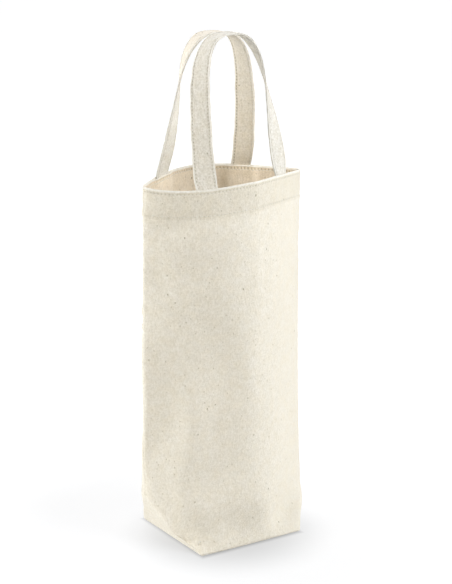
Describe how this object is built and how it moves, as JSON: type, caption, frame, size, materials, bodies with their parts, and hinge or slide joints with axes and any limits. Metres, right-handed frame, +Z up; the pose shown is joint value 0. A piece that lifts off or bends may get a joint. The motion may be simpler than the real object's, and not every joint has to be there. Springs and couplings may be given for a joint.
{
  "type": "bottle carrier bag",
  "caption": "Tall soft canvas bag with a boxed square base, a faced open mouth and a pair of twisted strap handles, for carrying one bottle upright.",
  "frame": {"origin": "centre of the square base, on the plane the bag stands on", "axes": "+Z up through the mouth, -Y the front panel, +X towards the right side seam seen from the front"},
  "size_m": [0.1804, 0.114, 0.4741],
  "materials": {
    "canvas": "undyed plain-weave cotton canvas with seed flecks, matt",
    "canvas_facing": "undyed plain-weave cotton canvas, matt",
    "strap_canvas": "undyed cotton canvas folded into a flat strap, matt",
    "sewing_thread": "ecru cotton sewing thread",
    "overlock_thread": "ecru overlock thread"
  },
  "bodies": {
    "bag": {"front_panel": "canvas", "back_panel": "canvas", "front_facing": "canvas_facing", "back_facing": "canvas_facing", "front_handle_left_tail": "strap_canvas", "front_handle_right_tail": "strap_canvas", "back_handle_left_tail": "strap_canvas", "back_handle_right_tail": "strap_canvas", "rim_topstitch_front": "sewing_thread", "rim_topstitch_back": "sewing_thread", "facing_stitch_front": "sewing_thread", "facing_stitch_back": "sewing_thread", "left_side_seam_stitch": "sewing_thread", "right_side_seam_stitch": "sewing_thread", "left_side_overlock": "overlock_thread", "right_side_overlock": "overlock_thread", "base_seam_stitch": "sewing_thread", "base_overlock": "overlock_thread", "left_corner_stitch": "sewing_thread", "right_corner_stitch": "sewing_thread", "left_corner_overlock": "overlock_thread", "right_corner_overlock": "overlock_thread"},
    "front_handle": {"front_handle": "strap_canvas", "front_handle_edge_stitching": "sewing_thread"},
    "back_handle": {"back_handle": "strap_canvas", "back_handle_edge_stitching": "sewing_thread"}
  },
  "joints": [
    {"name": "front_handle_fold", "type": "hinge", "parent": "bag", "child": "front_handle", "pos_m": [0.00554, -0.03783, 0.342], "axis": [0.9808, 0.1953, 0], "range_deg": [-2, 150]},
    {"name": "back_handle_fold", "type": "hinge", "parent": "bag", "child": "back_handle", "pos_m": [0.00201, 0.04207, 0.342], "axis": [-0.9952, -0.0978, 0], "range_deg": [-2, 150]}
  ]
}
